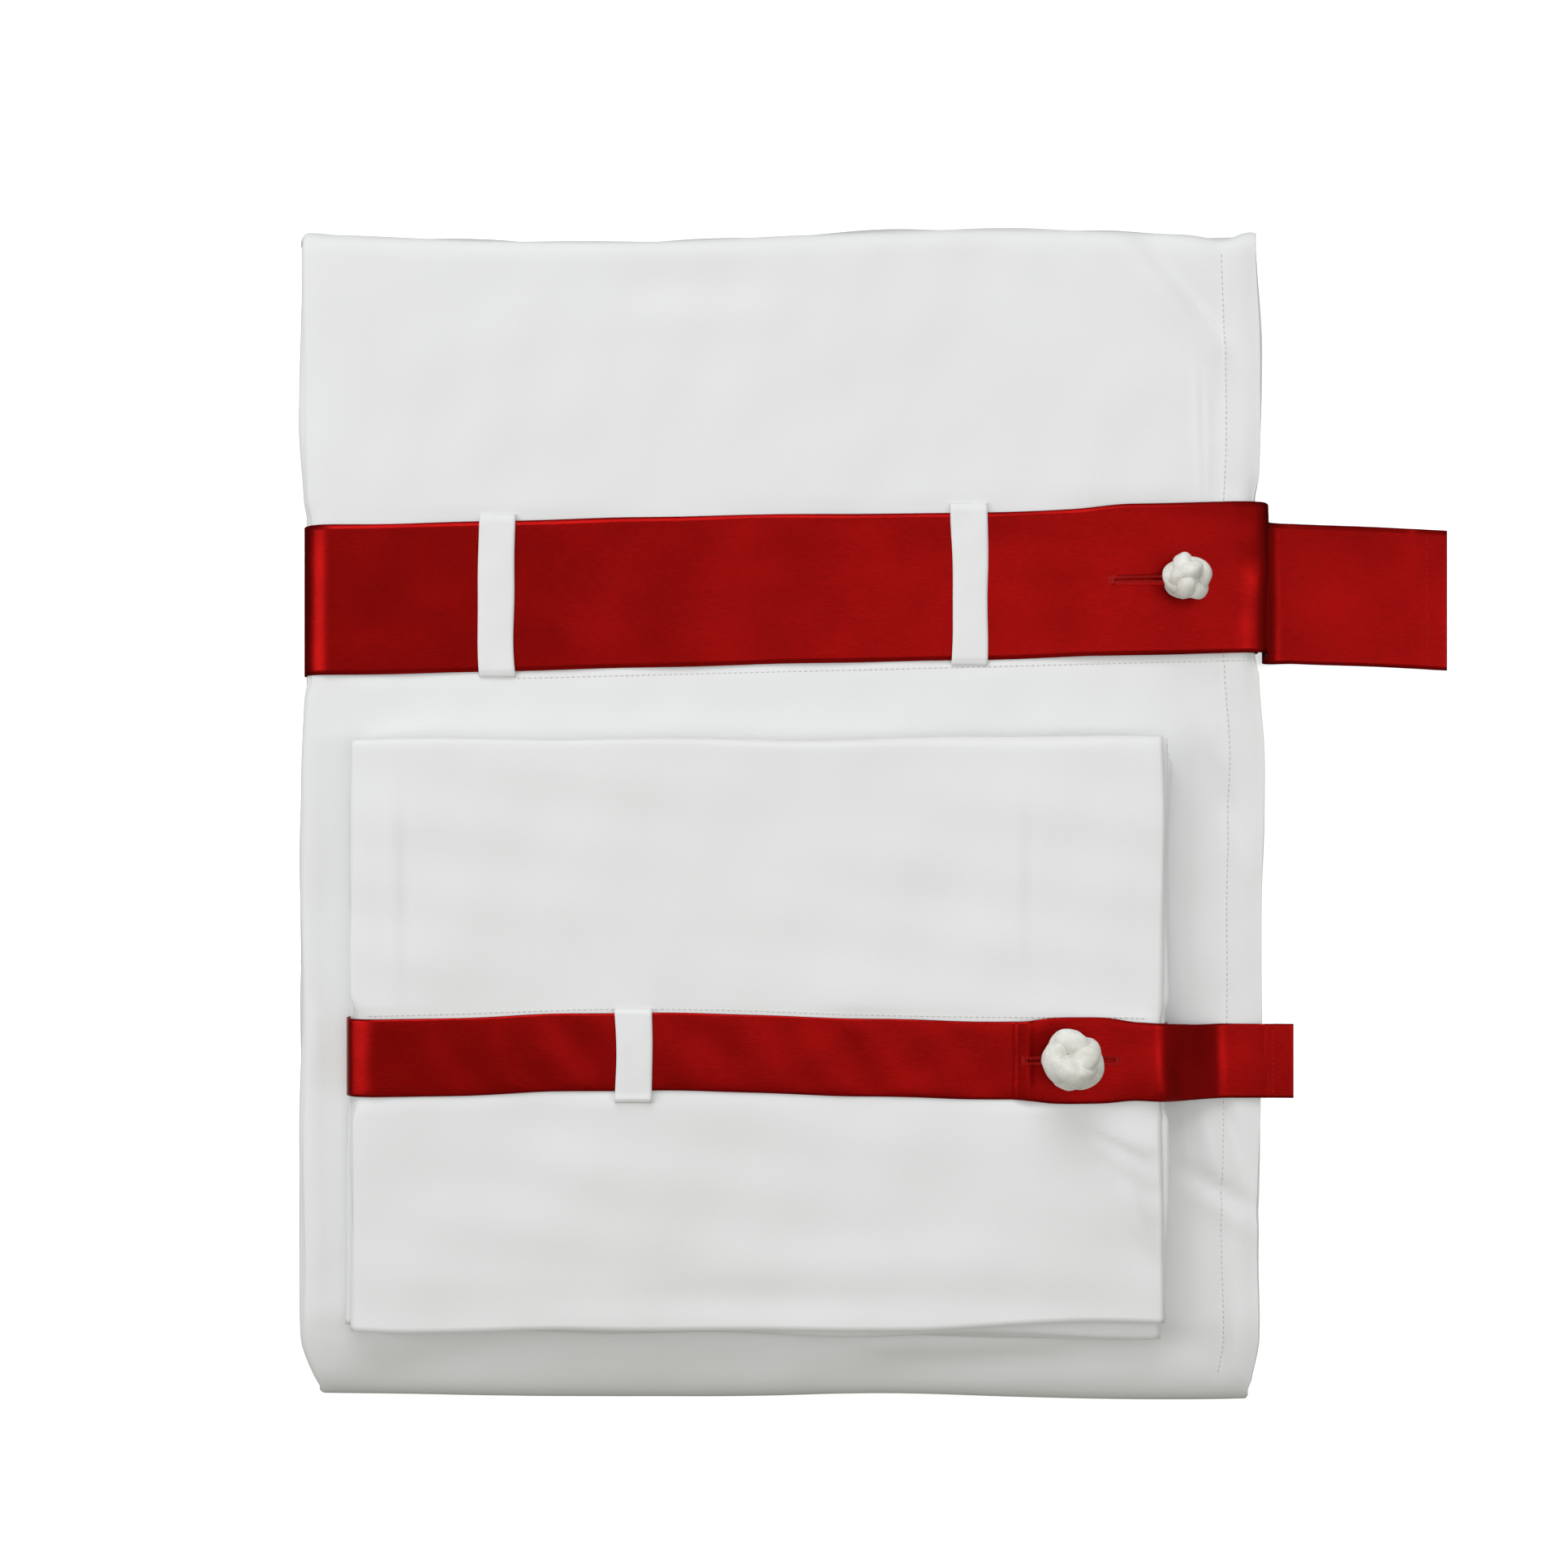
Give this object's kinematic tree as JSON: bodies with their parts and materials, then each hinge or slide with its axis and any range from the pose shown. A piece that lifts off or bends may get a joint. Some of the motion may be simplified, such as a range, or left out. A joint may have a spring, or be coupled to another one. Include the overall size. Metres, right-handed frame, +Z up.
{
  "type": "folded bed linen set",
  "caption": "Folded white duvet cover and pillowcases, each wrapped in a red satin sash that runs through cloth loops and fastens over a knotted cloth button, with a free tail.",
  "frame": {"origin": "middle of the folded duvet cover's underside, on the surface that the set lies on", "axes": "+Z up through the packets, +Y from the pillowcases towards the wide sash, +X towards the sashes' free tails"},
  "size_m": [0.5855, 0.576, 0.0904],
  "materials": {
    "cotton": "plain-woven percale, matt with a faint sheen",
    "knot_cotton": "bias-cut cotton tube, matt, slightly creamier than the sheets",
    "red_satin": "satin ribbon, glossy across the width",
    "white_thread": "sewing thread",
    "red_thread": "sewing thread"
  },
  "bodies": {
    "large_packet": {"large_cover_face": "cotton", "large_cover_back": "cotton", "large_opening_hem": "cotton", "large_hem_seam": "white_thread", "large_face_seam": "white_thread", "large_loop_left": "cotton", "large_loop_right": "cotton", "large_loop_bartacks": "white_thread", "wide_band": "red_satin", "wide_buttonhole_binding": "red_thread", "large_button_anchor": "white_thread"},
    "wide_tail": {"wide_band_tail": "red_satin", "wide_tail_hem": "red_satin", "wide_tail_hem_seam": "red_thread"},
    "large_button": {"large_knot_button": "knot_cotton", "large_button_shank": "white_thread"},
    "small_packet": {"upper_case_face": "cotton", "upper_case_back": "cotton", "lower_case_face": "cotton", "lower_case_back": "cotton", "small_face_seam": "white_thread", "small_loop": "cotton", "small_loop_bartacks": "white_thread", "narrow_band": "red_satin", "narrow_buttonhole_binding": "red_thread", "small_button_anchor": "white_thread"},
    "narrow_tail": {"narrow_band_tail": "red_satin", "narrow_tail_hem": "red_satin", "narrow_tail_hem_seam": "red_thread"},
    "small_button": {"small_knot_button": "knot_cotton", "small_button_shank": "white_thread"}
  },
  "joints": [
    {"name": "small_packet_lift", "type": "slide", "parent": "large_packet", "child": "small_packet", "axis": [0, 0, 1], "range_m": [0, 0.12]},
    {"name": "wide_tail_fold", "type": "hinge", "parent": "large_packet", "child": "wide_tail", "pos_m": [0.2433, 0.1148, 0.0003], "axis": [0, -1, 0], "range_deg": [0, 85]},
    {"name": "narrow_tail_fold", "type": "hinge", "parent": "small_packet", "child": "narrow_tail", "pos_m": [0.1873, -0.1183, 0.0587], "axis": [0, -1, 0], "range_deg": [0, 90]},
    {"name": "large_button_tilt", "type": "hinge", "parent": "large_packet", "child": "large_button", "pos_m": [0.202, 0.11797, 0.0374], "axis": [0, 1, 0], "range_deg": [-12, 12], "stiffness_Nm_per_rad": 0.02},
    {"name": "small_button_tilt", "type": "hinge", "parent": "small_packet", "child": "small_button", "pos_m": [0.1423, -0.1183, 0.0577], "axis": [0, 1, 0], "range_deg": [-12, 12], "stiffness_Nm_per_rad": 0.02}
  ]
}
